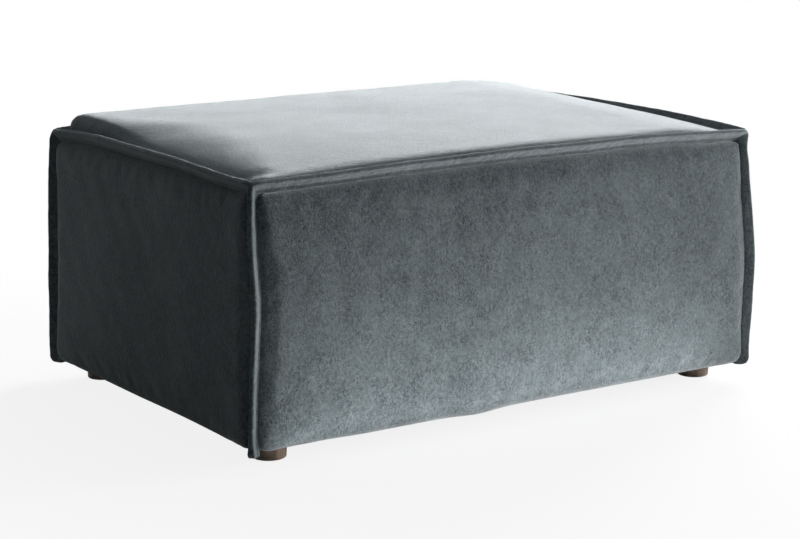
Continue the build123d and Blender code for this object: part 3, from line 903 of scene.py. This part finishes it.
def foam_block():
    """The foam core, its cut edges a little rounded and pressed in."""
    low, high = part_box("foam_core")
    base, top = low[2], high[2]
    levels = (
        (FOAM_EDGE_IN, base + FOAM_LIFT), (FOAM_INSET, base + FOAM_EDGE),
        (FOAM_INSET, top - FOAM_EDGE), (FOAM_EDGE_IN, top - FOAM_LIFT),
    )
    rings = [level_ring("foam_core", inset, height, FOAM_CORNER) for inset, height in levels]
    piece = skinned("foam_block", rings, FOAM_VOXEL, 0)
    points = points_of(piece.data)
    x, y, z = points.T
    uneven = unevenness(points, FOAM_UNEVEN) * smooth(*FOAM_UNEVEN_HEIGHTS, z - base)
    points[:, 0] += uneven * np.sign(x) * smooth(*FOAM_UNEVEN_X, np.abs(x))
    points[:, 1] += uneven * np.sign(y) * smooth(*FOAM_UNEVEN_Y, np.abs(y))
    set_points(piece.data, np.clip(points, np.array(low) + FOAM_GAP, np.array(high) - FOAM_GAP))
    return piece


def cloth_sheet(name, node_name, thickness, sag, fold):
    """A thin flat sheet in a node's place: sag at its middle, fold is a turned-in edge's width."""
    low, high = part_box(node_name)
    middle_x, middle_y = (low[0] + high[0]) / 2, (low[1] + high[1]) / 2
    half_x, half_y = (high[0] - low[0]) / 2, (high[1] - low[1]) / 2
    columns, rows = 66, 46

    def spot(layer, j, i):
        u = 2 * i / columns - 1
        v = 2 * j / rows - 1
        slack = (1 - u ** 2) * (1 - v ** 2)
        wave = 0.15 * math.sin(9 * u + 2 * v) * math.sin(7 * v)
        edge = min((1 - abs(u)) * half_x, (1 - abs(v)) * half_y)
        thick = thickness if edge <= fold or not fold else thickness * 0.6
        z = high[2] - sag * slack * (1 + wave) - (0 if layer else thick)
        return middle_x + u * half_x, middle_y + v * half_y, z

    return slab(name, columns, rows, spot)


def glide_discs():
    """Felt discs under the feet, thinned at the rim by wear."""
    glide_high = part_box("foot_glides")[1]
    foot_low, foot_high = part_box("foot_back_right")
    foot_x, foot_y = (foot_low[0] + foot_high[0]) / 2, (foot_low[1] + foot_high[1]) / 2
    radius, thickness = glide_high[0] - foot_x, glide_high[2]
    profile = [(0.6, 0.0), (0.93, 0.0001), (0.99, 0.0007), (1.0, 0.0017), (0.985, thickness)]
    turns = [2 * math.pi * k / GLIDE_STEPS for k in range(GLIDE_STEPS)]
    discs = []
    for sx in (-1, 1):
        for sy in (-1, 1):
            rings = []
            for share, z in profile:
                reach = share * radius
                rings.append([
                    (sx * foot_x + reach * math.cos(turn), sy * foot_y + reach * math.sin(turn), z)
                    for turn in turns
                ])
            discs.append(tube(f"disc_{sx}_{sy}", rings))
    piece = discs[0]
    join(piece, discs[1:])
    piece.name = "felt_glides"
    return piece


foam = foam_block()
shade_smooth(foam)
paint(foam, foam_finish)
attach(foam, "root")
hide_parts("foam_core")

felt = cloth_sheet("felt_sheet", "insulator_felt", FELT_THICKNESS, sag=0.0, fold=0.0)
paint(felt, felt_finish)
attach(felt, "root")
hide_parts("insulator_felt")

lining = cloth_sheet("lining_sheet", "dust_cover", LINING_THICKNESS, sag=LINING_SAG, fold=LINING_HEM)
shade_smooth(lining)
paint(lining, lining_finish)
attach(lining, "root")
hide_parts("dust_cover")

glides = glide_discs()
shade_smooth(glides)
paint(glides, glide_finish)
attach(glides, "root")
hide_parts("foot_glides")


# Finishes of the CAD nodes that stay

finishes = {
    "softwood": wood("softwood_pine", (0.46, 0.30, 0.15), (0.72, 0.54, 0.33), "X", 60, 0.65),
    "beech": wood("beech_dowel", (0.50, 0.34, 0.20), (0.72, 0.55, 0.37), "X", 150, 0.6),
    "hardboard": fibre("hardboard_brown", (0.12, 0.07, 0.035), (0.24, 0.15, 0.08), 600, 0.0003),
    "dark_wood": wood("dark_stained_wood", (0.18, 0.13, 0.098), (0.50, 0.385, 0.30), "Z", 130, 0.42),
    "spring_steel": metal("spring_steel", (0.22, 0.22, 0.23), (0.45, 0.45, 0.46), 0.4, 250),
    "nail_steel": metal("zinc_steel", (0.42, 0.42, 0.43), (0.62, 0.62, 0.63), 0.35, 400),
    "foam": foam_finish,
    "felt": felt_finish,
    "lining": lining_finish,
    "glide_felt": glide_finish,
    "velvet": velvet_cloth,
}
for entry in frame["record"]["subparts"]:
    paint(frame["nodes"][entry["node"]], finishes[entry["material_slot"]])


# Floor, lights and camera

FLOOR_HALF = 14.0           # half the floor's width
GLOW_NEAR = 0.5             # within this distance the floor's own glow is least
GLOW_FAR = 1.6              # and beyond this one it is full
GLOW_LEAST = 0.86
FLOOR_BOUNCE = (0.40, 0.40, 0.40, 1)   # the floor's colour for the light that it throws back
WORLD_TINT = (0.90, 0.96, 1.0, 1)
WORLD_LEVEL = 0.088


def floor_finish():
    """Pale floor that glows white away from the object, and shows its soft shadow near it."""
    made, tree, shader = material("pale_floor")
    tree.nodes.remove(shader)
    out = tree.nodes["Material Output"]
    grain = noise_of(tree, object_points(tree), 3, 2, 0.5)
    colour = ramp(tree, grain, [(0.3, (0.90, 0.90, 0.90)), (0.7, (0.93, 0.93, 0.93))])
    path = node(tree, "ShaderNodeLightPath")
    dimmer = node(tree, "ShaderNodeMix", data_type="RGBA")
    dimmer.inputs["A"].default_value = FLOOR_BOUNCE
    tree.links.new(path.outputs["Is Camera Ray"], dimmer.inputs["Factor"])
    tree.links.new(colour, dimmer.inputs["B"])
    diffuse = node(tree, "ShaderNodeBsdfDiffuse")
    tree.links.new(dimmer.outputs["Result"], diffuse.inputs["Color"])
    # nearer the object less of the floor glows, so that its shadow shows
    away = node(tree, "ShaderNodeVectorMath", operation="LENGTH")
    tree.links.new(object_points(tree), away.inputs[0])
    glowing = node(tree, "ShaderNodeMapRange", interpolation_type="SMOOTHSTEP")
    tree.links.new(away.outputs["Value"], glowing.inputs["Value"])
    glowing.inputs["From Min"].default_value = GLOW_NEAR
    glowing.inputs["From Max"].default_value = GLOW_FAR
    glowing.inputs["To Min"].default_value = GLOW_LEAST
    glowing.inputs["To Max"].default_value = 1.0
    share = node(tree, "ShaderNodeMath", operation="MULTIPLY")
    tree.links.new(path.outputs["Is Camera Ray"], share.inputs[0])
    tree.links.new(glowing.outputs["Result"], share.inputs[1])
    glow = node(tree, "ShaderNodeEmission", Strength=1.0)
    mix = node(tree, "ShaderNodeMixShader")
    tree.links.new(share.outputs[0], mix.inputs[0])
    tree.links.new(diffuse.outputs[0], mix.inputs[1])
    tree.links.new(glow.outputs[0], mix.inputs[2])
    tree.links.new(mix.outputs[0], out.inputs["Surface"])
    return made


def studio_world():
    """Plain dim light all round, on a white background."""
    world = bpy.data.worlds.new("studio")
    world.use_nodes = True
    tree = world.node_tree
    tree.nodes.clear()
    plain_light = node(tree, "ShaderNodeBackground", Color=WORLD_TINT, Strength=WORLD_LEVEL)
    white = node(tree, "ShaderNodeBackground", Color=(1, 1, 1, 1), Strength=1.0)
    path = node(tree, "ShaderNodeLightPath")
    seen = node(tree, "ShaderNodeMath", operation="MAXIMUM")
    tree.links.new(path.outputs["Is Camera Ray"], seen.inputs[0])
    tree.links.new(path.outputs["Is Glossy Ray"], seen.inputs[1])
    mix = node(tree, "ShaderNodeMixShader")
    tree.links.new(seen.outputs[0], mix.inputs[0])
    tree.links.new(plain_light.outputs[0], mix.inputs[1])
    tree.links.new(white.outputs[0], mix.inputs[2])
    output = node(tree, "ShaderNodeOutputWorld")
    tree.links.new(mix.outputs[0], output.inputs["Surface"])
    return world


def softbox(name, place, target, size, power):
    """Rectangular lamp that faces its target and isn't seen itself."""
    lamp = bpy.data.lights.new(name, "AREA")
    lamp.shape = "RECTANGLE"
    lamp.size, lamp.size_y = size
    lamp.energy = power
    made = bpy.data.objects.new(name, lamp)
    made.location = place
    made.rotation_euler = (Vector(target) - Vector(place)).to_track_quat("-Z", "Y").to_euler()
    made.visible_camera = False
    made.visible_glossy = False
    bpy.context.scene.collection.objects.link(made)


floor_corners = [(sx * FLOOR_HALF, sy * FLOOR_HALF, 0) for sx, sy in ((-1, -1), (1, -1), (1, 1), (-1, 1))]
floor = new_object("floor", floor_corners, [(0, 1, 2, 3)])
paint(floor, floor_finish())

bpy.context.scene.world = studio_world()
softbox("back_light", place=(3.4, 1.95, 1.34), target=(0, 0, 0.4), size=(2.0, 1.0), power=350)
softbox("front_light", place=(3.7, -1.95, 1.0), target=(0, 0, 0.2), size=(1.4, 1.4), power=166)
softbox("top_light", place=(0.3, 0.2, 3.2), target=(0, 0, 0.4), size=(2.0, 2.0), power=12)
# lies on the floor before the front and shines up, as a white floor would
bounce_place = (-0.02, -0.415, 0.004)
above_bounce = (-0.02, -0.415, 1.0)
softbox("bounce_light", place=bounce_place, target=above_bounce, size=(0.80, 0.13), power=1.62)

# The camera stands on a sphere round its target
AZIMUTH = math.radians(-34.3134)
ELEVATION = math.radians(11.8964)
DISTANCE = 3.1769
TARGET = Vector((0.0024, 0.0, 0.1747))
FOCAL_LENGTH = 89.517       # in millimetres, on a sensor 36 wide
SENSOR_WIDTH = 36

back = Vector((
    math.sin(AZIMUTH) * math.cos(ELEVATION),
    -math.cos(AZIMUTH) * math.cos(ELEVATION),
    math.sin(ELEVATION),
))
lens = bpy.data.cameras.new("camera")
lens.sensor_width = SENSOR_WIDTH
lens.lens = FOCAL_LENGTH
camera = bpy.data.objects.new("camera", lens)
camera.location = TARGET + back * DISTANCE
camera.rotation_mode = "QUATERNION"
camera.rotation_quaternion = (-back).to_track_quat("-Z", "Y")
bpy.context.scene.collection.objects.link(camera)
bpy.context.scene.camera = camera
bpy.context.scene.view_settings.view_transform = "Standard"
